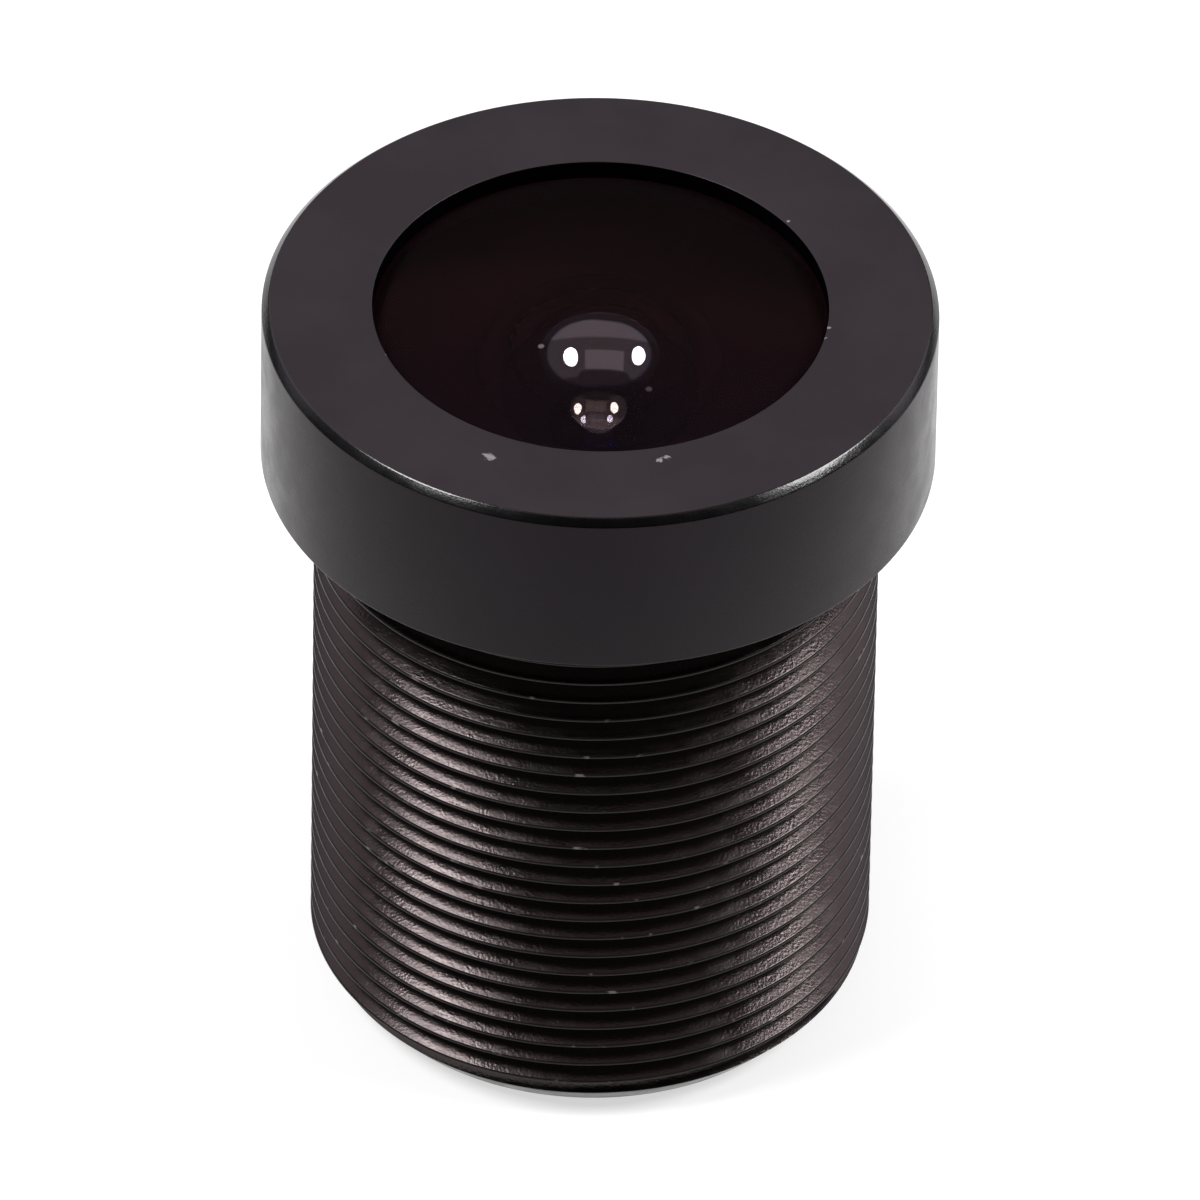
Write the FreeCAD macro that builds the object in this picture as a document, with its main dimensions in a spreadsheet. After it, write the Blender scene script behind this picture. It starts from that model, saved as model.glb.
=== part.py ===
"""Infrared lens with an M12 x 0.5 outside thread, for small board cameras.

Millimetres. The origin is the centre of the rear end face, and +Z runs along the optical axis to the
front glass. Every piece is turned about that axis. The lens is loaded from the front: the elements and
their spacers stand in a stack on the barrel's inner flange, the front lens closes the stack, and the
screwed-on cap clamps it down on its gasket. The infrared filter is held in the rear recess by a slotted
ring of its own.
"""
import FreeCAD, Part
import Sketcher
import math
import os

# Driving dimensions in millimetres
SIZES = {
    # Outside thread, plain at its crest, which is turned down a little from the nominal diameter
    "thread_diameter": 12.0,
    "thread_allowance": 0.05,
    "thread_relief": 0.15,
    "end_chamfer_width": 0.66,
    "end_chamfer_height": 0.77,
    # Whole lens and screwed-on cap
    "lens_height": 17.35,
    "cap_diameter": 14.16,
    "cap_height": 3.9,
    "face_width": 2.32,
    "lip_thickness": 0.43,
    "lip_overlap": 0.44,
    "cap_edge_chamfer": 0.165,
    # Barrel: spigot inside the cap, bores and inner flange
    "spigot_wall": 0.53,
    "spigot_headroom": 0.2,
    "element_bore": 7.2,
    "rear_aperture": 4.6,
    "rear_flange": 0.75,
    "filter_bore": 7.0,
    # Fits
    "cap_clearance": 0.02,
    "lens_clearance": 0.02,
    "seat_gap": 0.1,
    # Front lens, gasket and mask
    "front_lens_bevel": 0.06,
    "front_lens_edge": 2.35,
    "front_lens_front_radius": 30.0,
    "front_lens_hollow_depth": 1.92,
    "seal_thickness": 0.2,
    "seal_width": 0.8,
    "seal_ledge": 0.1,
    "mask_thickness": 0.05,
    "mask_width": 0.78,
    # Front spacer: a cone down to a neck on the second lens
    "neck_land": 0.2,
    # Second lens, hollow in front and full at the rear, and its spacer
    "second_lens_edge": 1.38,
    "second_lens_front_radius": 3.6,
    "second_lens_rear_radius": 4.0,
    "second_lens_bevel": 1.68,
    "second_spacer_length": 1.09,
    # Third lens
    "third_lens_edge": 1.0,
    "third_lens_front_radius": 8.0,
    "third_lens_bevel": 1.28,
    # Aperture stop and its spacer
    "stop_thickness": 0.08,
    "stop_hole": 1.6,
    "stop_spacer_length": 0.6,
    # Cemented doublet
    "crown_edge": 1.0,
    "crown_front_radius": 6.5,
    "cement_radius": 4.2,
    "cement_gap": 0.01,
    "flint_edge": 1.1,
    "doublet_bevel": 1.28,
    # Rear spacer and rear lens
    "rear_spacer_length": 0.8,
    "rear_lens_edge": 1.0,
    "rear_lens_front_radius": 7.0,
    "rear_lens_bevel": 1.28,
    # Filter and its slotted ring
    "filter_thickness": 0.3,
    "retainer_thickness": 0.5,
    "retainer_set_back": 0.1,
    "retainer_width": 0.8,
    "slot_width": 0.7,
    "slot_depth": 0.25,
}

# Radii and heights that follow from the driving dimensions, each after what it uses
DERIVED = {
    "crest_radius": "thread_diameter / 2 - thread_allowance",
    "cap_radius": "cap_diameter / 2",
    "opening_radius": "cap_radius - face_width",
    # Front lens in the cap's opening, the spigot around it and the cap's bore around that
    "front_lens_radius": "opening_radius + lip_overlap",
    "front_lens_clear": "opening_radius - front_lens_bevel",
    "pocket_radius": "front_lens_radius + lens_clearance",
    "spigot_radius": "pocket_radius + spigot_wall",
    "cap_bore_radius": "spigot_radius + cap_clearance",
    # Heights at the front, from the front face backwards
    "cap_base": "lens_height - cap_height",
    "thread_top": "cap_base - thread_relief",
    "lip_base": "lens_height - lip_thickness",
    "barrel_front": "lip_base - spigot_headroom",
    "front_lens_back": "lip_base - front_lens_edge",
    "seal_seat": "front_lens_back - seal_thickness",
    "front_spacer_top": "front_lens_back - mask_thickness",
    # Bores and what stands in them
    "seal_hole_radius": "front_lens_radius - seal_width",
    "bore_radius": "min(element_bore / 2; seal_hole_radius - seal_ledge)",
    "element_radius": "bore_radius - lens_clearance",
    "rear_aperture_radius": "rear_aperture / 2",
    "filter_bore_radius": "filter_bore / 2",
    "filter_radius": "filter_bore_radius - lens_clearance",
    "retainer_hole_radius": "filter_radius - retainer_width",
    "hollow_radius": "element_radius - mask_width",
    "front_lens_rear_radius": "hollow_radius ^ 2 / front_lens_hollow_depth / 2 + front_lens_hollow_depth / 2",
    "second_lens_clear": "element_radius - second_lens_bevel",
    "third_lens_clear": "element_radius - third_lens_bevel",
    "doublet_clear": "element_radius - doublet_bevel",
    "rear_lens_clear": "element_radius - rear_lens_bevel",
    # Heights of the stack, from the rear end upwards
    "retainer_front": "retainer_set_back + retainer_thickness",
    "filter_seat": "retainer_front + filter_thickness",
    "flange_front": "filter_seat + rear_flange",
    "rear_lens_top": "flange_front + rear_lens_edge",
    "rear_spacer_top": "rear_lens_top + rear_spacer_length",
    "flint_back": "rear_spacer_top + mask_thickness",
    "flint_top": "flint_back + flint_edge",
    "crown_back": "flint_top + cement_gap",
    "crown_top": "crown_back + crown_edge",
    "stop_back": "crown_top + stop_spacer_length",
    "third_lens_back": "stop_back + stop_thickness",
    "third_lens_top": "third_lens_back + third_lens_edge",
    "second_lens_back": "third_lens_top + second_spacer_length",
    "second_lens_top": "second_lens_back + second_lens_edge",
    # Holes of the spacers clear the wider glass surface beside them
    "neck_radius": "second_lens_clear + seat_gap",
    "second_spacer_hole": "max(second_lens_clear; third_lens_clear) + seat_gap",
    "stop_spacer_hole": "max(third_lens_clear; doublet_clear) + seat_gap",
    "rear_spacer_hole": "max(doublet_clear; rear_lens_clear) + seat_gap",
    "cone_radius": "hollow_radius + seat_gap",
}

SHEET = "Sizes"
AXIS = "0"
FLAT = None
TOWARDS_REAR, TOWARDS_FRONT = range(-1, 2, 2)
V_AXIS, H_AXIS = range(-2, 0)
START, END, CENTRE = range(1, 4)


def make_sheet(doc):
    """Write the driving dimensions as plain numbers and the derived ones as formulas, with aliases."""
    sheet = doc.addObject("Spreadsheet::Sheet", SHEET)
    contents = {name: str(value) for name, value in SIZES.items()}
    contents.update({name: f"={formula}" for name, formula in DERIVED.items()})
    for row, (name, content) in enumerate(contents.items(), start=1):
        sheet.set(f"A{row}", name)
        sheet.setAlias(f"B{row}", name)
        sheet.set(f"B{row}", content)
    doc.recompute()
    return sheet


def bound(formula):
    """The formula with the sheet's name before each of its sizes."""
    words = formula.split()
    return " ".join(f"{SHEET}.{word}" if word in SIZES or word in DERIVED else word for word in words)


class Outline:
    """A closed half-section of a turned piece, drawn across (radius) and along (height) the axis."""

    def __init__(self, doc, name):
        self.sheet = doc.getObject(SHEET)
        self.body = doc.addObject("PartDesign::Body", name)
        self.body.Label = name
        self.sketch = self.new_sketch(f"{name}_outline", "XZ_Plane")

    def new_sketch(self, name, role):
        """An empty sketch on one of the body's own origin planes."""
        plane = [feature for feature in self.body.Origin.OriginFeatures if feature.Role == role]
        sketch = self.body.newObject("Sketcher::SketchObject", name)
        sketch.AttachmentSupport = (plane[0], [""])
        sketch.MapMode = "FlatFace"
        return sketch

    def value(self, formula):
        """The present value of a formula."""
        return float(self.sheet.evalExpression(bound(formula)))

    def hold(self, sketch, kind, edge, end, formula):
        """Set the distance of one end of an edge from the origin, bound to the sheet."""
        if formula == AXIS:
            reference = V_AXIS if kind == "DistanceX" else H_AXIS
            sketch.addConstraint(Sketcher.Constraint("PointOnObject", edge, end, reference))
            return
        distance = self.value(formula)
        index = sketch.addConstraint(Sketcher.Constraint(kind, H_AXIS, START, edge, end, distance))
        sketch.setExpression(f"Constraints[{index}]", bound(formula))

    def polygon(self, sketch, corners):
        """A closed run of straight edges through corners, each given as (across, along)."""
        points = [FreeCAD.Vector(self.value(across), self.value(along), 0) for across, along in corners]
        for index, point in enumerate(points):
            sketch.addGeometry(Part.LineSegment(point, points[(index + 1) % len(points)]))
        for index, (across, along) in enumerate(corners):
            following = (index + 1) % len(corners)
            sketch.addConstraint(Sketcher.Constraint("Coincident", index, END, following, START))
            self.hold(sketch, "DistanceX", index, START, across)
            self.hold(sketch, "DistanceY", index, START, along)

    def join(self, edge, end, other, other_end):
        """Make two ends of edges meet."""
        self.sketch.addConstraint(Sketcher.Constraint("Coincident", edge, end, other, other_end))

    def surface(self, side, face, height):
        """One ground face of a lens as an arc from its rim to its pole; returns the arc and both ends."""
        radius, hollow, rim = face
        radius_now = self.value(radius)
        rim_angle = math.acos(self.value(rim) / radius_now)
        centre_side = side if hollow else -side
        middle = self.value(height) + centre_side * radius_now * math.sin(rim_angle)
        circle = Part.Circle(FreeCAD.Vector(0, middle, 0), FreeCAD.Vector(0, 0, 1), radius_now)
        if centre_side == TOWARDS_REAR:
            arc = Part.ArcOfCircle(circle, rim_angle, math.pi / 2)
            rim_end, pole_end = START, END
        else:
            arc = Part.ArcOfCircle(circle, -math.pi / 2, -rim_angle)
            rim_end, pole_end = END, START
        edge = self.sketch.addGeometry(arc)
        self.sketch.addConstraint(Sketcher.Constraint("PointOnObject", edge, CENTRE, V_AXIS))
        self.sketch.addConstraint(Sketcher.Constraint("PointOnObject", edge, pole_end, V_AXIS))
        index = self.sketch.addConstraint(Sketcher.Constraint("Radius", edge, radius_now))
        self.sketch.setExpression(f"Constraints[{index}]", bound(radius))
        return edge, rim_end, pole_end

    def turn(self):
        """Turn the outline about the optical axis."""
        solid = self.body.newObject("PartDesign::Revolution", f"{self.body.Name}_turned")
        solid.Profile = self.sketch
        solid.ReferenceAxis = (self.sketch, ["V_Axis"])
        solid.Angle = 360
        self.sketch.Visibility = False
        return self.body


def turned(doc, name, corners):
    """A turned piece with straight edges only."""
    outline = Outline(doc, name)
    outline.polygon(outline.sketch, corners)
    outline.turn()
    return outline


def ring(doc, name, hole, outside, back, front):
    """A plain turned ring or washer."""
    return turned(doc, name, [(hole, back), (outside, back), (outside, front), (hole, front)])


def lens(doc, name, outside, back, front, rear_face, front_face):
    """A lens with flat bevels for its seats; each face is (radius, hollow, rim), or FLAT."""
    outline = Outline(doc, name)
    sketch = outline.sketch
    rear_rim = AXIS if rear_face is FLAT else rear_face[2]
    front_rim = AXIS if front_face is FLAT else front_face[2]
    corners = [(rear_rim, back), (outside, back), (outside, front), (front_rim, front)]
    points = [FreeCAD.Vector(outline.value(across), outline.value(along), 0) for across, along in corners]
    edges = [sketch.addGeometry(Part.LineSegment(*pair)) for pair in zip(points, points[1:])]
    rear_bevel, rim, front_bevel = edges
    outline.join(rear_bevel, END, rim, START)
    outline.join(rim, END, front_bevel, START)
    held = [(rear_bevel, START), (rear_bevel, END), (rim, END), (front_bevel, END)]
    for (edge, end), (across, along) in zip(held, corners):
        outline.hold(sketch, "DistanceX", edge, end, across)
        outline.hold(sketch, "DistanceY", edge, end, along)
    poles = []
    for bevel, end, side, face, height in (
        (rear_bevel, START, TOWARDS_REAR, rear_face, back),
        (front_bevel, END, TOWARDS_FRONT, front_face, front),
    ):
        if face is FLAT:
            poles.append((bevel, end))
        else:
            arc, rim_end, pole_end = outline.surface(side, face, height)
            outline.join(arc, rim_end, bevel, end)
            poles.append((arc, pole_end))
    middle = sketch.addGeometry(Part.LineSegment(*[sketch.getPoint(*pole) for pole in poles]))
    outline.join(middle, START, *poles[0])
    outline.join(middle, END, *poles[1])
    outline.turn()
    return outline


def make_barrel(doc):
    """The tube: thread at its crest with a lead-in chamfer, spigot for the cap, and the stepped bore."""
    return turned(doc, "barrel", [
        ("filter_bore_radius", AXIS),
        ("crest_radius - end_chamfer_width", AXIS),
        ("crest_radius", "end_chamfer_height"),
        ("crest_radius", "thread_top"),
        ("spigot_radius", "thread_top"),
        ("spigot_radius", "barrel_front"),
        ("pocket_radius", "barrel_front"),
        ("pocket_radius", "seal_seat"),
        ("bore_radius", "seal_seat"),
        ("bore_radius", "flange_front"),
        ("rear_aperture_radius", "flange_front"),
        ("rear_aperture_radius", "filter_seat"),
        ("filter_bore_radius", "filter_seat"),
    ]).body


def make_front_cap(doc):
    """The plain head: a ring whose inner lip holds the front lens."""
    return turned(doc, "front_cap", [
        ("cap_bore_radius", "cap_base"),
        ("cap_radius", "cap_base"),
        ("cap_radius", "lens_height - cap_edge_chamfer"),
        ("cap_radius - cap_edge_chamfer", "lens_height"),
        ("opening_radius", "lens_height"),
        ("opening_radius", "lip_base"),
        ("cap_bore_radius", "lip_base"),
    ]).body


def make_front_group(doc):
    """Front lens, the gasket under its rim, the mask behind it and the conical spacer."""
    front_lens = lens(doc, "front_lens", "front_lens_radius", "front_lens_back", "lip_base",
                      ("front_lens_rear_radius", True, "hollow_radius"),
                      ("front_lens_front_radius", False, "front_lens_clear"))
    seal = ring(doc, "front_seal", "seal_hole_radius", "front_lens_radius", "seal_seat", "front_lens_back")
    mask = ring(doc, "front_mask", "hollow_radius", "element_radius",
                "front_spacer_top", "front_lens_back")
    spacer = turned(doc, "front_spacer", [
        ("neck_radius", "second_lens_top"),
        ("element_radius", "second_lens_top"),
        ("element_radius", "front_spacer_top"),
        ("cone_radius", "front_spacer_top"),
        ("neck_radius", "second_lens_top + neck_land"),
    ])
    return [piece.body for piece in (front_lens, seal, mask, spacer)]


def make_middle_group(doc):
    """Second and third lens, their spacer, the aperture stop and the spacer behind it."""
    second_lens = lens(doc, "second_lens", "element_radius", "second_lens_back", "second_lens_top",
                       ("second_lens_rear_radius", False, "second_lens_clear"),
                       ("second_lens_front_radius", True, "second_lens_clear"))
    second_spacer = ring(doc, "second_spacer", "second_spacer_hole", "element_radius",
                         "third_lens_top", "second_lens_back")
    third_lens = lens(doc, "third_lens", "element_radius", "third_lens_back", "third_lens_top",
                      FLAT, ("third_lens_front_radius", False, "third_lens_clear"))
    stop = ring(doc, "aperture_stop", "stop_hole / 2", "element_radius", "stop_back", "third_lens_back")
    stop_spacer = ring(doc, "stop_spacer", "stop_spacer_hole", "element_radius", "crown_top", "stop_back")
    return [piece.body for piece in (second_lens, second_spacer, third_lens, stop, stop_spacer)]


def make_rear_group(doc):
    """Cemented doublet, its mask, the rear spacer and the rear lens on the barrel's inner flange."""
    crown = lens(doc, "doublet_crown", "element_radius", "crown_back", "crown_top",
                 ("cement_radius", False, "doublet_clear"),
                 ("crown_front_radius", False, "doublet_clear"))
    flint = lens(doc, "doublet_flint", "element_radius", "flint_back", "flint_top",
                 FLAT, ("cement_radius", True, "doublet_clear"))
    mask = ring(doc, "rear_mask", "doublet_clear", "element_radius", "rear_spacer_top", "flint_back")
    spacer = ring(doc, "rear_spacer", "rear_spacer_hole", "element_radius", "rear_lens_top",
                  "rear_spacer_top")
    rear_lens = lens(doc, "rear_lens", "element_radius", "flange_front", "rear_lens_top",
                     FLAT, ("rear_lens_front_radius", False, "rear_lens_clear"))
    return [piece.body for piece in (crown, flint, mask, spacer, rear_lens)]


def make_filter_group(doc):
    """Plane filter glass against the flange and the slotted ring that holds it."""
    glass = turned(doc, "infrared_filter", [
        (AXIS, "retainer_front"),
        ("filter_radius", "retainer_front"),
        ("filter_radius", "filter_seat"),
        (AXIS, "filter_seat"),
    ])
    retainer = ring(doc, "filter_retainer", "retainer_hole_radius", "filter_radius",
                    "retainer_set_back", "retainer_front")
    slot = retainer.new_sketch("slot_outline", "XY_Plane")
    retainer.polygon(slot, [
        ("-( filter_bore_radius )", "-( slot_width / 2 )"),
        ("filter_bore_radius", "-( slot_width / 2 )"),
        ("filter_bore_radius", "slot_width / 2"),
        ("-( filter_bore_radius )", "slot_width / 2"),
    ])
    pocket = retainer.body.newObject("PartDesign::Pocket", "slots")
    pocket.Profile = slot
    pocket.Reversed = True
    pocket.setExpression("Length", bound("retainer_set_back + slot_depth"))
    return [glass.body, retainer.body]


def check(doc, bodies):
    """Stop where an object failed to recompute or a piece has no valid solid."""
    for thing in doc.Objects:
        if "Invalid" in thing.State or "Error" in thing.State:
            raise RuntimeError(f"{thing.Name} failed: {thing.State}")
    for body in bodies:
        if body.Shape.isNull() or not body.Shape.isValid() or len(body.Shape.Solids) != 1:
            raise RuntimeError(f"{body.Label} has no valid single solid")


def main():
    doc = FreeCAD.newDocument("infrared_lens")
    make_sheet(doc)
    bodies = [make_barrel(doc), make_front_cap(doc)]
    bodies += make_front_group(doc)
    bodies += make_middle_group(doc)
    bodies += make_rear_group(doc)
    bodies += make_filter_group(doc)
    doc.recompute()
    check(doc, bodies)
    os.makedirs("parts", exist_ok=True)
    for body in bodies:
        body.Shape.exportStep(f"parts/{body.Label}.step")
        print(body.Label, round(body.Shape.Volume, 4))


main()
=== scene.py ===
import math

import bmesh
import bpy
from mathutils import Matrix, Vector


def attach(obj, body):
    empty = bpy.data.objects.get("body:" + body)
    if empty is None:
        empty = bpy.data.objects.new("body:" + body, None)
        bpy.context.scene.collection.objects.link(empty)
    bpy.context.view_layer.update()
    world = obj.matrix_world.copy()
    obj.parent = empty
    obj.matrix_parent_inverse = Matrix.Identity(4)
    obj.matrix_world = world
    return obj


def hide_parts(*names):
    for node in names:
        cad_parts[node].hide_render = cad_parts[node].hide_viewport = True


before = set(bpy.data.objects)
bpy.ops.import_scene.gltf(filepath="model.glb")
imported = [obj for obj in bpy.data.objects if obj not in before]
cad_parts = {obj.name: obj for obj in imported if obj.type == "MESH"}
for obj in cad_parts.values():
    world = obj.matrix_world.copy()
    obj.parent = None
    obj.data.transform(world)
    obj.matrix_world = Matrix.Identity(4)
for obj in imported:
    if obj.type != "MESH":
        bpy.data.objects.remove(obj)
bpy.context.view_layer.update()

MM = 0.001

# Camera: its target on the optical axis, distance, elevation and roll, and the photograph's scale at the target
TARGET = Vector((0.10, 0.0, 9.32)) * MM
DISTANCE = 0.5
ELEVATION = math.radians(40.0)
ROLL = math.radians(1.05)
PIXELS_PER_MM = 47.42
FRAME_PIXELS = 1200
SENSOR = 36.0
CLIP_START = 0.01
CLIP_END = 20.0

# Thread, in millimetres: pitch, crest and root, the crest's land with its broken edges, and where the thread ends
PITCH = 0.5
CREST_RADIUS = 5.95
ROOT_RADIUS = 5.635
CREST_WIDTH = 0.075
CREST_EDGE = 0.018
EDGE_STRIP = 0.006
ROOT_WIDTH = 0.08
CHAMFER_RADIUS = 5.29
CHAMFER_HEIGHT = 0.77
THREAD_TOP = 13.30
RUN_OUT_START = 0.35
RUN_OUT_END = 0.05

# Barrel's spigot and stepped bore, in millimetres
SPIGOT_RADIUS = 5.75
SPIGOT_TOP = 16.72
SEAT_BORE = 5.22
SEAT_BASE = 14.37
ELEMENT_BORE = 3.6
FLANGE_TOP = 1.65
FLANGE_BORE = 2.3
FLANGE_BASE = 0.9
FILTER_BORE = 3.5
MOUTH_HEIGHT = 0.12
MOUTH_RADIUS = 3.62

# Cap, in millimetres
CAP_RADIUS = 7.08
CAP_BASE = 13.45
CAP_TOP = 17.35
CAP_BORE = 5.77
LIP_BASE = 16.92
OPENING_RADIUS = 4.76
CAP_EDGE = 0.165
PAINT_MARGIN = 0.02

# Lenses, in millimetres. The gap under the front glass lets light reach its blackened rear edge from inside
FRONT_RADIUS = 5.2
FRONT_BASE = 14.57
SEAT_GAP = 0.003
ELEMENT_RADIUS = 3.58

# Meshes: steps around the axis, along a spherical face and along a rounding, and the distance for welding
SEGMENTS = 256
ARC_STEPS = 40
ROUND_STEPS = 4
WELD = 1e-8

# Materials
GRAIN_DEPTH = 0.00001
PAINT_CLOUDS = 1.6
PAINT_ROUGHNESS_SPREAD = 0.08
GLASS_IOR = 1.52
HAZE_ROUGHNESS = 0.03
WHITE = (1.0, 1.0, 1.0)

# Sockets of the colour mix, which share their names: factor and both colours, and the result
MIX_INPUTS = (0, 6, 7)
MIX_OUTPUT = 2

# Floor: side and depth below the lens in metres, and its glow in the middle, west and east of the lens
FLOOR_SIZE = 6.0
FLOOR_DROP = 0.00002
FLOOR_GLOW = 0.62
FLOOR_GLOW_WEST = 0.08
FLOOR_GLOW_EAST = 0.80

# Studio: its middle's shift to the east, and the brightness of its parts
STUDIO_SHIFT = 0.09
BACKDROP = 0.20
OVERHEAD = 0.135
SOUTH = 0.04
PANEL = 0.22
LOW_SHARE = 0.1
WALL_WEST = 0.6
WALL_EAST = 1.08

LAMP_DISTANCE = 1.3


# Node helpers

class Nodes:
    """Short calls for building one material's or world's node tree."""

    def __init__(self, tree):
        self.tree = tree
        self.tree.nodes.clear()

    def add(self, kind, inputs=(), **settings):
        node = self.tree.nodes.new(kind)
        for name, value in settings.items():
            setattr(node, name, value)
        for name, value in dict(inputs).items():
            self.put(node.inputs[name], value)
        return node

    def put(self, socket, value):
        """Link a socket to another one, or set it to a constant."""
        if isinstance(value, bpy.types.NodeSocket):
            self.tree.links.new(value, socket)
        elif isinstance(value, tuple) and len(value) == 3 and socket.type == "RGBA":
            socket.default_value = (*value, 1.0)
        else:
            socket.default_value = value

    def math(self, operation, first, second=0.0, third=0.0):
        node = self.add("ShaderNodeMath", {0: first, 1: second, 2: third}, operation=operation)
        return node.outputs[0]

    def step(self, value, low, high, to_low=0.0, to_high=1.0):
        """Smooth step from to_low at low to to_high at high."""
        node = self.add("ShaderNodeMapRange", {
            "Value": value, "From Min": low, "From Max": high, "To Min": to_low, "To Max": to_high,
        }, interpolation_type="SMOOTHSTEP")
        return node.outputs["Result"]

    def mix(self, factor, first, second):
        node = self.add("ShaderNodeMix", data_type="RGBA")
        for index, value in zip(MIX_INPUTS, (factor, first, second)):
            self.put(node.inputs[index], value)
        return node.outputs[MIX_OUTPUT]

    def noise(self, place, scale, detail=2.0, roughness=0.5):
        node = self.add("ShaderNodeTexNoise", {
            "Vector": place, "Scale": scale, "Detail": detail, "Roughness": roughness,
        })
        return node.outputs["Fac"]

    def seen(self):
        """1 for a ray from the camera, off a glossy surface or through glass."""
        rays = self.add("ShaderNodeLightPath").outputs
        return self.math("MAXIMUM", rays["Is Camera Ray"],
                         self.math("MAXIMUM", rays["Is Glossy Ray"], rays["Is Transmission Ray"]))

    def stretched(self, place, scale):
        node = self.add("ShaderNodeMapping", {"Vector": place, "Scale": scale})
        return node.outputs["Vector"]


def new_material(name):
    material = bpy.data.materials.new(name)
    material.use_nodes = True
    nodes = Nodes(material.node_tree)
    place = nodes.add("ShaderNodeTexCoord").outputs["Object"]
    shader = nodes.add("ShaderNodeBsdfPrincipled")
    output = nodes.add("ShaderNodeOutputMaterial")
    nodes.put(output.inputs["Surface"], shader.outputs[0])
    return material, nodes, place, shader


def axis_distance(nodes, place):
    """Distance of a point from the optical axis, in metres."""
    x, y, _ = nodes.add("ShaderNodeSeparateXYZ", {0: place}).outputs
    squares = nodes.math("ADD", nodes.math("MULTIPLY", x, x), nodes.math("MULTIPLY", y, y))
    return nodes.math("SQRT", squares)


def spot(nodes, place, centre, size, ragged=2.4):
    """A small mark with a ragged or a round edge; its centre and radius are in millimetres."""
    offset = nodes.add("ShaderNodeVectorMath", {0: place, 1: Vector(centre) * MM}, operation="DISTANCE")
    edge = nodes.math("SUBTRACT", nodes.noise(place, scale=9000.0, detail=3.0, roughness=0.7), 0.5)
    reach = nodes.math("MULTIPLY_ADD", edge, -ragged * size * MM, offset.outputs["Value"])
    return nodes.step(reach, 0.5 * size * MM, 0.8 * size * MM, to_low=1.0, to_high=0.0)


def grain(nodes, shader, height, strength):
    bump = nodes.add("ShaderNodeBump", {"Height": height, "Strength": strength, "Distance": GRAIN_DEPTH})
    nodes.put(shader.inputs["Normal"], bump.outputs["Normal"])


def anodised(name, dark, light, roughness, specular, metal=(0.26, 0.245, 0.245), marks=(), specks=None,
             relief=0.25, turned=0.5, sheen=WHITE):
    """Black anodised aluminium with fine grain, turning marks and small bare spots."""
    material, nodes, place, shader = new_material(name)
    cloudy = nodes.noise(place, scale=420.0, detail=4.0, roughness=0.6)
    fine = nodes.noise(place, scale=16000.0)
    colour = nodes.mix(nodes.step(cloudy, 0.3, 0.7), dark, light)
    bare = 0.0
    for centre, size in marks:
        bare = nodes.math("MAXIMUM", bare, spot(nodes, place, centre, size))
    if specks:
        low, high, reach_from, reach_to = specks
        dust = nodes.step(nodes.noise(place, scale=2300.0, roughness=0.6), low, high)
        reach = nodes.step(axis_distance(nodes, place), reach_from * MM, reach_to * MM)
        bare = nodes.math("MAXIMUM", bare, nodes.math("MULTIPLY", dust, reach))
    nodes.put(shader.inputs["Base Color"], nodes.mix(bare, colour, metal))
    patches = nodes.noise(place, scale=1500.0, detail=3.0)
    nodes.put(shader.inputs["Roughness"], nodes.step(patches, 0.3, 0.7, *roughness))
    shader.inputs["Specular IOR Level"].default_value = specular
    shader.inputs["Specular Tint"].default_value = (*sheen, 1.0)
    turning = nodes.noise(nodes.stretched(place, (150.0, 150.0, 22000.0)), scale=1.0)
    grain(nodes, shader, nodes.math("MULTIPLY_ADD", turning, turned, fine), relief)
    return material


def blackened(name, colour, roughness=0.6, specular=0.0):
    """Matt black paint or film, also used darker or lighter as painted shade or painted light."""
    material, nodes, place, shader = new_material(name)
    cloudy = nodes.noise(place, scale=2500.0, detail=4.0, roughness=0.6)
    light = tuple(PAINT_CLOUDS * part for part in colour)
    nodes.put(shader.inputs["Base Color"], nodes.mix(cloudy, colour, light))
    nodes.put(shader.inputs["Roughness"], nodes.step(
        cloudy, 0.2, 0.8, roughness - PAINT_ROUGHNESS_SPREAD, roughness + PAINT_ROUGHNESS_SPREAD))
    shader.inputs["Specular IOR Level"].default_value = specular
    grain(nodes, shader, nodes.noise(place, scale=12000.0, detail=3.0), 0.1)
    return material


def glass(name, tint, film, dust=0.0, marks=(), polish=0.0):
    """Polished glass with a coating, (nanometres, index), a faint haze of fine dust, and pale specks on it."""
    material, nodes, place, shader = new_material(name)
    haze = nodes.step(nodes.noise(place, scale=5200.0, detail=5.0, roughness=0.75), 0.72, 0.8)
    nodes.put(shader.inputs["Roughness"], nodes.math("MULTIPLY_ADD", haze, HAZE_ROUGHNESS, polish))
    shader.inputs["Base Color"].default_value = (*tint, 1.0)
    shader.inputs["IOR"].default_value = GLASS_IOR
    clear = 1.0 - dust
    for centre, size, cover in marks:
        clear = nodes.math("MULTIPLY_ADD", spot(nodes, place, centre, size, ragged=0.4), -cover, clear)
    nodes.put(shader.inputs["Transmission Weight"], clear)
    thickness, index = film
    shader.inputs["Thin Film Thickness"].default_value = thickness
    shader.inputs["Thin Film IOR"].default_value = index
    return material


# Mesh helpers

def rounded(corners):
    """Points along a profile of (radius, height, rounding) corners, with the corners rounded."""
    points = []
    count = len(corners)
    for index, (across, along, rounding) in enumerate(corners):
        here = Vector((across, along))
        before = Vector(corners[index - 1][:2])
        after = Vector(corners[(index + 1) % count][:2])
        start = here + (before - here).normalized() * rounding
        end = here + (after - here).normalized() * rounding
        for step in range(ROUND_STEPS + 1):
            t = step / ROUND_STEPS
            points.append(tuple(start * (1 - t) ** 2 + here * 2 * t * (1 - t) + end * t ** 2))
    return points


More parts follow.
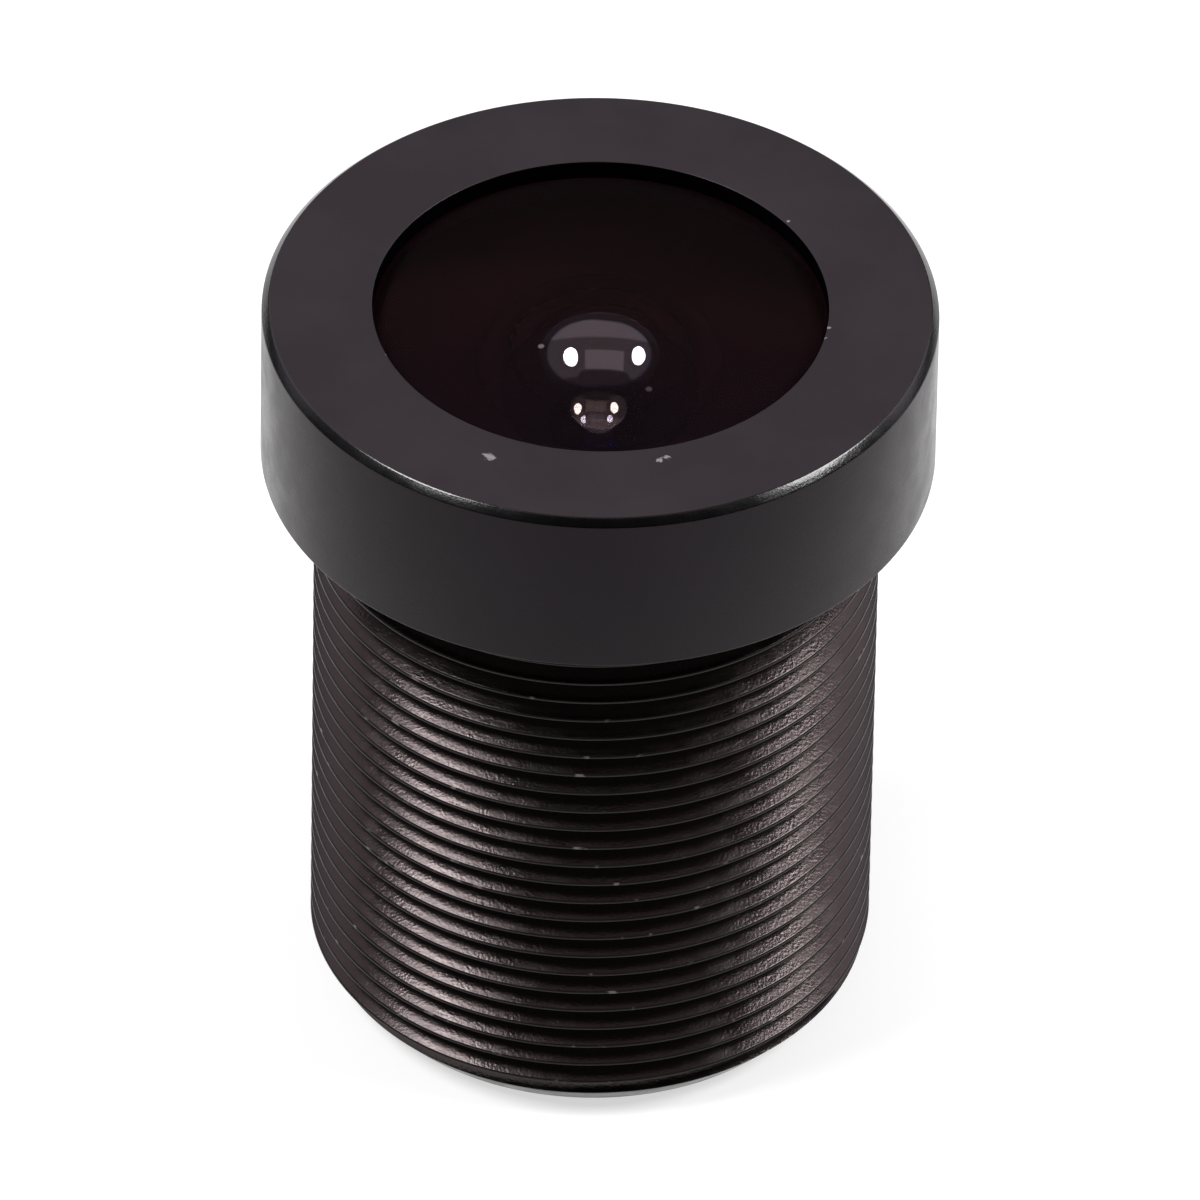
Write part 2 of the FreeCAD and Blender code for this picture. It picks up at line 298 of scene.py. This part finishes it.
def finished(name, verts, faces, materials, paint, sharp=30.0):
    """A mesh object with smooth shading, sharp edges kept, and its normals outwards."""
    mesh = bpy.data.meshes.new(name)
    mesh.from_pydata(verts, [], faces)
    for material in materials:
        mesh.materials.append(material)
    mesh.polygons.foreach_set("material_index", paint)
    body = bmesh.new()
    body.from_mesh(mesh)
    bmesh.ops.remove_doubles(body, verts=body.verts, dist=WELD)
    bmesh.ops.dissolve_degenerate(body, edges=body.edges, dist=WELD)
    bmesh.ops.recalc_face_normals(body, faces=body.faces)
    body.to_mesh(mesh)
    body.free()
    mesh.shade_smooth()
    mesh.set_sharp_from_angle(angle=math.radians(sharp))
    piece = bpy.data.objects.new(name, mesh)
    bpy.context.scene.collection.objects.link(piece)
    return piece


def lathe(name, profile, materials, paint, closed=True):
    """Turn a profile of (radius, height) points in millimetres about the axis; a point on the axis is a pole."""
    verts, rings = [], []
    for across, along in profile:
        if across == 0.0:
            rings.append([len(verts)])
            verts.append((0.0, 0.0, along * MM))
            continue
        rings.append(list(range(len(verts), len(verts) + SEGMENTS)))
        for step in range(SEGMENTS):
            angle = 2 * math.pi * step / SEGMENTS
            verts.append((across * MM * math.cos(angle), across * MM * math.sin(angle), along * MM))
    faces, face_paint = [], []
    pairs = list(zip(rings, rings[1:])) + ([(rings[-1], rings[0])] if closed else [])
    for (first, second), slot in zip(pairs, paint):
        for step in range(SEGMENTS):
            after = (step + 1) % SEGMENTS
            if len(first) == 1:
                faces.append((first[0], second[after], second[step]))
            elif len(second) == 1:
                faces.append((first[step], first[after], second[0]))
            else:
                faces.append((first[step], first[after], second[after], second[step]))
            face_paint.append(slot)
    return finished(name, verts, faces, materials, face_paint)


def arc(radius, rim, bulge, rim_height):
    """Points of a spherical face from its pole to its rim; bulge is +1 for a pole above the rim."""
    drop = math.sqrt(radius ** 2 - rim ** 2)
    points = []
    for step in range(ARC_STEPS + 1):
        across = rim * math.sin(math.pi / 2 * step / ARC_STEPS)
        points.append((across, rim_height + bulge * (math.sqrt(radius ** 2 - across ** 2) - drop)))
    return points


def lens(name, node, slot, outside, back, front, rear_face, front_face, materials):
    """A lens from back to front, with polished faces, (radius, rim, bulge) or None for flat.

    Its materials are those of the flat edges, of the rear and front faces, and of the outside where it differs.
    """
    edge, rear_paint, front_paint = 0, 1, 2
    side = 3 if len(materials) > 3 else edge
    rear = arc(*rear_face, back) if rear_face else [(0.0, back)]
    top = arc(*front_face, front) if front_face else [(0.0, front)]
    profile = rear + [(outside, back), (outside, front)] + top[::-1]
    paint = [rear_paint] * (len(rear) - 1) + [edge, side, edge] + [front_paint] * (len(top) - 1)
    if rear_face is None:
        paint[0] = rear_paint
    if front_face is None:
        paint[-1] = front_paint
    fit(lathe(name, profile, materials, paint, closed=False), slot, node)


def fit(piece, slot, *nodes):
    """Let a piece ride with the lens and stand for its solids, which are hidden. The slot is not used."""
    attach(piece, "root")
    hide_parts(*nodes)


# Threaded barrel

def thread_radius(along):
    """Radius of the thread at a height within one pitch, with the crest's middle at zero."""
    away = abs((along + PITCH / 2) % PITCH - PITCH / 2)
    land = CREST_WIDTH / 2 - CREST_EDGE
    flank_start = CREST_WIDTH / 2
    flank_end = (PITCH - ROOT_WIDTH) / 2
    if away < flank_start:
        return CREST_RADIUS - max(away - land, 0.0)
    share = min((away - flank_start) / (flank_end - flank_start), 1.0)
    return CREST_RADIUS - CREST_EDGE + (ROOT_RADIUS - CREST_RADIUS + CREST_EDGE) * share


def smooth(low, high, value):
    share = min(max((value - low) / (high - low), 0.0), 1.0)
    return share * share * (3 - 2 * share)


def barrel_radius(profile_radius, height):
    """The thread's radius, cut by the end chamfer and faded out under the cap."""
    if height < CHAMFER_HEIGHT:
        cone = CHAMFER_RADIUS + (CREST_RADIUS - CHAMFER_RADIUS) * height / CHAMFER_HEIGHT
        profile_radius = min(profile_radius, cone)
    fade = smooth(THREAD_TOP - RUN_OUT_START, THREAD_TOP - RUN_OUT_END, height)
    return profile_radius + (SPIGOT_RADIUS - profile_radius) * fade


def threaded_barrel(materials):
    """The barrel with its right-handed helical thread, spigot and stepped bore in one mesh."""
    flank_start = CREST_WIDTH / 2
    flank_end = (PITCH - ROOT_WIDTH) / 2
    levels = [-flank_start - EDGE_STRIP, -flank_start, -flank_start + CREST_EDGE, flank_start - CREST_EDGE,
              flank_start, flank_start + EDGE_STRIP, flank_end, PITCH - flank_end]
    rows_per_pitch = len(levels)
    crest_rows = (1, 2, 3)
    turns = math.ceil(THREAD_TOP / PITCH) + 3
    rows = [(turn - 2) * PITCH + level for turn in range(turns) for level in levels]
    # The seam is at the back; a crest passes each whole half millimetre in front
    seam = math.pi / 2
    verts, faces, paint = [], [], []
    inner = [(SPIGOT_RADIUS, SPIGOT_TOP), (SEAT_BORE, SPIGOT_TOP), (SEAT_BORE, SEAT_BASE),
             (ELEMENT_BORE, SEAT_BASE), (ELEMENT_BORE, FLANGE_TOP), (FLANGE_BORE, FLANGE_TOP),
             (FLANGE_BORE, FLANGE_BASE), (FILTER_BORE, FLANGE_BASE), (FILTER_BORE, MOUTH_HEIGHT),
             (MOUTH_RADIUS, 0.0)]
    per_column = len(inner) + len(rows)
    for column in range(SEGMENTS):
        share = column / SEGMENTS
        angle = seam + 2 * math.pi * share
        shift = PITCH * (share + 0.5)
        for across, along in inner:
            verts.append((across * math.cos(angle), across * math.sin(angle), along))
        for row in rows:
            height = min(max(row + shift, 0.0), THREAD_TOP)
            across = barrel_radius(thread_radius(row), height)
            verts.append((across * math.cos(angle), across * math.sin(angle), height))
    count = len(inner)
    for column in range(SEGMENTS):
        after = (column + 1) % SEGMENTS
        # Across the seam, each row meets the row one pitch further up
        shift = rows_per_pitch if after == 0 else 0
        first, second = column * per_column, after * per_column
        for index in range(count - 1):
            faces.append((first + index, second + index, second + index + 1, first + index + 1))
        # Bore's lower edge to the first row, and the last row to the spigot's top
        faces.append((first + count - 1, second + count - 1, second + count, first + count))
        top = per_column - 1
        faces.append((first + top, second + top, second, first))
        paint += [0] * (count + 1)
        for index in range(len(rows) - 1):
            low, high = index + shift, index + shift + 1
            if high > len(rows) - 1:
                low = high = len(rows) - 1
            faces.append((first + count + index, second + count + low,
                          second + count + high, first + count + index + 1))
            paint.append(1 if index % rows_per_pitch in crest_rows else 0)
    verts = [tuple(part * MM for part in vert) for vert in verts]
    kept = [(tuple(dict.fromkeys(face)), slot) for face, slot in zip(faces, paint) if len(set(face)) > 2]
    faces, paint = zip(*kept)
    piece = finished("threaded_barrel", verts, faces, materials, paint, sharp=50.0)
    fit(piece, "barrel_anodised", "barrel")


# Materials

# Bare marks on the cap: centre and radius in millimetres
CAP_MARKS = (
    ((-2.25, -5.02, 17.35), 0.15), ((1.42, -4.92, 17.35), 0.11), ((1.28, -5.02, 17.35), 0.09),
    ((4.75, -0.60, 17.33), 0.07), ((4.70, -0.95, 17.30), 0.06), ((-4.42, -1.75, 17.33), 0.06),
    ((-2.70, -6.62, 17.2), 0.05), ((-3.02, -6.40, 17.27), 0.05), ((3.9, 2.9, 17.33), 0.05),
)
CAP_SHEEN = (1.0, 0.84, 0.96)
# Specks on the front glass: centre, radius and how much of the glass they cover
GLASS_MARKS = (
    ((-1.226, -1.246, 17.242), 0.10, 0.12), ((1.038, -2.502, 17.171), 0.11, 0.04),
)
# Specks on the crests: noise from which and up to which they appear, and the same for the radius
CREST_SPECKS = (0.65, 0.75, 5.92, 5.945)

cap_black = anodised(
    "cap_satin_black", dark=(0.0044, 0.0033, 0.0041), light=(0.0060, 0.0046, 0.0056), roughness=(0.25, 0.33),
    specular=0.15, marks=CAP_MARKS, sheen=CAP_SHEEN)
# The front face is the same anodised finish as the side, with its colour painted about six times lighter: painted
# light on the upward face.
lit_face_black = anodised(
    "cap_face_painted_light", dark=(0.0290, 0.0245, 0.0278), light=(0.0346, 0.0295, 0.0336), roughness=(0.32, 0.40),
    specular=0.15, marks=CAP_MARKS, sheen=CAP_SHEEN)
# The chamfer's colour is painted darker than the side's: painted shade along the chamfer. Its higher gloss is the
# turned bevel's own.
shaded_edge_polish = anodised(
    "cap_edge_gloss_painted_shade", dark=(0.0002, 0.0002, 0.0002), light=(0.0004, 0.0003, 0.0003), roughness=(0.16, 0.22),
    specular=0.55, marks=CAP_MARKS)
# The opening's wall is painted a flat matt black without gloss, darker than the cap: painted shade in the recess
# under the lip.
shade_wall_black = blackened("opening_wall_painted_shade", (0.0012, 0.001, 0.001))
barrel_black = anodised(
    "barrel_gloss_black", dark=(0.0016, 0.0009, 0.0009), light=(0.0028, 0.0018, 0.0018), roughness=(0.17, 0.28),
    specular=0.5, relief=0.6, turned=0.2, sheen=(1.0, 0.82, 0.82))
crest_black = anodised(
    "crest_satin_black", dark=(0.0056, 0.0042, 0.0044), light=(0.0078, 0.0060, 0.0062), roughness=(0.28, 0.38),
    specular=0.17, metal=(0.20, 0.18, 0.175), specks=CREST_SPECKS, relief=0.5, turned=0.2, sheen=(1.0, 0.86, 0.86))
retainer_black = anodised(
    "retainer_matt_black", dark=(0.008, 0.008, 0.0082), light=(0.013, 0.013, 0.0132), roughness=(0.42, 0.5),
    specular=0.4)
spacer_black = blackened("spacer_black", (0.0090, 0.0038, 0.0046))
mask_black = blackened("mask_black", (0.0018, 0.0007, 0.0008))
seal_black = blackened("seal_black", (0.008, 0.008, 0.008), roughness=0.7, specular=0.3)
edge_black = blackened("lens_edge_black", (0.0054, 0.0017, 0.0025))
# The front lens's outer rim has the same blackening as its other edges, painted about three times lighter: painted
# light on the rim, which lies in the cap's shade.
lit_rim_black = blackened("lens_rim_painted_light", (0.018, 0.0068, 0.0098))
front_polish = glass("front_glass_coated", (0.985, 0.785, 0.82), film=(135.0, 1.2), dust=0.0032, marks=GLASS_MARKS)
hollow_polish = glass("front_glass_hollow", (0.99, 0.97, 0.97), film=(78.0, 2.1), polish=0.02)
inner_polish = glass("inner_glass", (0.98, 0.95, 0.96), film=(75.0, 1.95))
# The deeper lenses' glass is tinted dark grey: painted shade deep in the barrel, which also dims their
# reflections. Their coating is their own.
deep_shaded_glass = glass("deep_glass_coated_painted_shade", (0.2, 0.17, 0.18), film=(120.0, 1.23))
filter_polish = glass("filter_glass", (0.45, 0.12, 0.14), film=(190.0, 1.9))

# Pieces

threaded_barrel([barrel_black, crest_black])

cap_profile = rounded([
    (CAP_BORE, CAP_BASE, 0.03), (CAP_RADIUS, CAP_BASE, 0.06), (CAP_RADIUS, CAP_TOP - CAP_EDGE, 0.02),
    (CAP_RADIUS - CAP_EDGE, CAP_TOP, 0.04), (OPENING_RADIUS, CAP_TOP, 0.05), (OPENING_RADIUS, LIP_BASE, 0.02),
    (CAP_BORE, LIP_BASE, 0.02),
])


def cap_slot(across, along):
    """Material of the cap's profile around a point: the side, edge chamfer, front face or opening's wall."""
    if across > CAP_RADIUS - CAP_EDGE and along > CAP_TOP - CAP_EDGE:
        return 1
    if along > CAP_TOP - PAINT_MARGIN:
        return 2
    return 3 if across < OPENING_RADIUS + PAINT_MARGIN else 0


cap_paint = [cap_slot((first[0] + second[0]) / 2, (first[1] + second[1]) / 2)
             for first, second in zip(cap_profile, cap_profile[1:] + cap_profile[:1])]
cap = lathe("turned_cap", cap_profile, [cap_black, shaded_edge_polish, lit_face_black, shade_wall_black], cap_paint)
fit(cap, "cap_anodised", "front_cap")

lens("front_glass_lens", "front_lens", "front_glass", FRONT_RADIUS, FRONT_BASE + SEAT_GAP, LIP_BASE,
     (3.0, 2.8, 1), (30.0, 4.70, 1), [edge_black, hollow_polish, front_polish, lit_rim_black])

# Name, node, slot, back and front height, rear and front face, and polish; the deeper lenses take glass tinted
# dark as painted shade
INNER_LENSES = (
    ("second_glass_lens", "second_lens", "inner_glass", 8.38, 9.76, (4.0, 1.9, -1), (3.6, 1.9, -1), inner_polish),
    ("third_glass_lens", "third_lens", "inner_glass", 6.29, 7.29, None, (8.0, 2.3, 1), deep_shaded_glass),
    ("crown_glass_lens", "doublet_crown", "crown_glass", 4.61, 5.61, (4.2, 2.3, -1), (6.5, 2.3, 1), deep_shaded_glass),
    ("flint_glass_lens", "doublet_flint", "flint_glass", 3.50, 4.60, None, (4.2, 2.3, -1), deep_shaded_glass),
    ("rear_glass_lens", "rear_lens", "inner_glass", 1.65, 2.65, None, (7.0, 2.3, 1), deep_shaded_glass),
)
for name, node, slot, base, top, rear_face, front_face, polish in INNER_LENSES:
    lens(name, node, slot, ELEMENT_RADIUS, base, top, rear_face, front_face, [edge_black, polish, polish])

NODE_MATERIALS = {
    "front_seal": seal_black,
    "front_mask": mask_black,
    "front_spacer": spacer_black,
    "second_spacer": spacer_black,
    "aperture_stop": mask_black,
    "stop_spacer": spacer_black,
    "rear_mask": mask_black,
    "rear_spacer": spacer_black,
    "infrared_filter": filter_polish,
    "filter_retainer": retainer_black,
}
for name, material in NODE_MATERIALS.items():
    for material_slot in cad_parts[name].material_slots:
        material_slot.link = "OBJECT"
        material_slot.material = material

# Floor, which glows more beside the lens, so that the cap's sides reflect it as in the photograph

bpy.ops.mesh.primitive_plane_add(size=FLOOR_SIZE, location=(0.0, 0.0, -FLOOR_DROP))
floor = bpy.context.object
floor.name = "floor"
floor_material, floor_nodes, floor_place, floor_shader = new_material("floor_white")
floor_nodes.put(floor_shader.inputs["Base Color"], floor_nodes.mix(
    floor_nodes.noise(floor_place, scale=9.0), (0.51, 0.51, 0.51), (0.53, 0.53, 0.53)))
floor_shader.inputs["Roughness"].default_value = 0.8
floor_shader.inputs["Specular IOR Level"].default_value = 0.1
floor_nodes.put(floor_shader.inputs["Emission Color"], WHITE)
floor_east = floor_nodes.add("ShaderNodeSeparateXYZ", {0: floor_place}).outputs[0]
floor_glow = floor_nodes.math(
    "ADD", floor_nodes.step(floor_east, -0.016, -0.003, to_low=FLOOR_GLOW_WEST, to_high=0.0),
    floor_nodes.step(floor_east, 0.003, 0.012, to_low=FLOOR_GLOW, to_high=FLOOR_GLOW_EAST))
floor_nodes.put(floor_shader.inputs["Emission Strength"],
                floor_nodes.math("MULTIPLY", floor_nodes.seen(), floor_glow))
floor.data.materials.append(floor_material)

# Surroundings: white behind the floor, and above that a studio for reflections. The edges of its parts are given
# in the parts of a direction of length 1, to the east, to the north and up

world = bpy.data.worlds.new("studio")
bpy.context.scene.world = world
world.use_nodes = True
sky = Nodes(world.node_tree)
direction = sky.add("ShaderNodeTexCoord").outputs["Generated"]
east, north, up = sky.add("ShaderNodeSeparateXYZ", {0: direction}).outputs
aside = sky.math("ABSOLUTE", sky.math("SUBTRACT", east, STUDIO_SHIFT))

# Pale backdrop in the north, weaker light overhead, and a panel in its middle
backdrop = sky.step(north, 0.34, 0.42, to_high=BACKDROP)
south_edge = sky.step(aside, 0.42, 0.52, to_low=-0.48, to_high=-0.60)
overhead = sky.step(sky.math("SUBTRACT", north, south_edge), -0.04, 0.04, to_low=SOUTH, to_high=OVERHEAD)
panel = sky.math("MULTIPLY", sky.step(aside, 0.35, 0.39, to_low=1.0, to_high=0.0),
                 sky.math("MULTIPLY", sky.step(north, -0.47, -0.43),
                          sky.step(north, 0.01, 0.05, to_low=1.0, to_high=0.0)))
level = sky.math("ADD", sky.math("ADD", backdrop, overhead), sky.math("MULTIPLY", panel, PANEL))

# All of these are dark near the horizon
height = sky.math("MULTIPLY_ADD", aside, 0.2, up)
level = sky.math("MULTIPLY", level, sky.step(height, 0.54, 0.64, to_low=LOW_SHARE))

# Pale walls low at both sides, which only metal shows: they light the thread towards its outer sides
rays = sky.add("ShaderNodeLightPath").outputs
walls = sky.math("MULTIPLY", sky.step(north, 0.10, 0.40), sky.step(aside, 0.38, 0.52))
walls = sky.math("MULTIPLY", walls, sky.step(up, 0.15, 0.35))
walls = sky.math("MULTIPLY", walls, sky.step(east, -0.1, 0.1, to_low=WALL_WEST, to_high=WALL_EAST))
off_metal = sky.math("SUBTRACT", rays["Is Glossy Ray"], rays["Is Transmission Ray"])
level = sky.math("MULTIPLY_ADD", walls, off_metal, level)

horizon = sky.math("MULTIPLY", sky.seen(), sky.step(up, 0.04, 0.08, to_low=1.0, to_high=0.0))
white = sky.math("MAXIMUM", rays["Is Camera Ray"], horizon)
tone = sky.mix(sky.step(up, 0.50, 0.70), (1.02, 0.955, 1.05), (1.12, 0.95, 0.95))
background = sky.add("ShaderNodeBackground", {
    "Color": sky.mix(white, tone, WHITE), "Strength": sky.math("MAXIMUM", level, white)})
sky.put(sky.add("ShaderNodeOutputWorld").inputs["Surface"], background.outputs[0])

# Lamps


def lamp(name, towards, width, height, radiance):
    """A soft oval lamp that faces the lens from a direction; height runs along Y."""
    data = bpy.data.lights.new(name, "AREA")
    data.shape = "ELLIPSE"
    data.size, data.size_y = width, height
    data.energy = radiance * math.pi * (math.pi / 4 * width * height)
    light = bpy.data.objects.new(name, data)
    outwards = Vector(towards).normalized()
    across = Vector((0.0, 1.0, 0.0)).cross(outwards).normalized()
    along = outwards.cross(across)
    light.matrix_world = Matrix.Translation(outwards * LAMP_DISTANCE + TARGET) @ Matrix(
        (across, along, outwards)).transposed().to_4x4()
    bpy.context.scene.collection.objects.link(light)


lamp("lamp_left", (-0.55, -0.12, 0.83), width=0.40, height=0.64, radiance=20.0)
lamp("lamp_right", (0.71, -0.015, 0.69), width=0.41, height=0.62, radiance=17.6)

# Camera

back = Vector((0.0, -math.cos(ELEVATION), math.sin(ELEVATION)))
upright = Vector((0.0, math.sin(ELEVATION), math.cos(ELEVATION)))
sideways = Vector((1.0, 0.0, 0.0))
camera_right = sideways * math.cos(ROLL) + upright * math.sin(ROLL)
camera_up = upright * math.cos(ROLL) - sideways * math.sin(ROLL)
camera = bpy.data.objects.new("camera", bpy.data.cameras.new("camera"))
camera.data.sensor_width = SENSOR
camera.data.lens = PIXELS_PER_MM / MM * DISTANCE * SENSOR / FRAME_PIXELS
camera.data.clip_start = CLIP_START
camera.data.clip_end = CLIP_END
camera.matrix_world = Matrix.Translation(TARGET + back * DISTANCE) @ Matrix(
    (camera_right, camera_up, back)).transposed().to_4x4()
bpy.context.scene.collection.objects.link(camera)
bpy.context.scene.camera = camera
bpy.context.scene.view_settings.view_transform = "Standard"
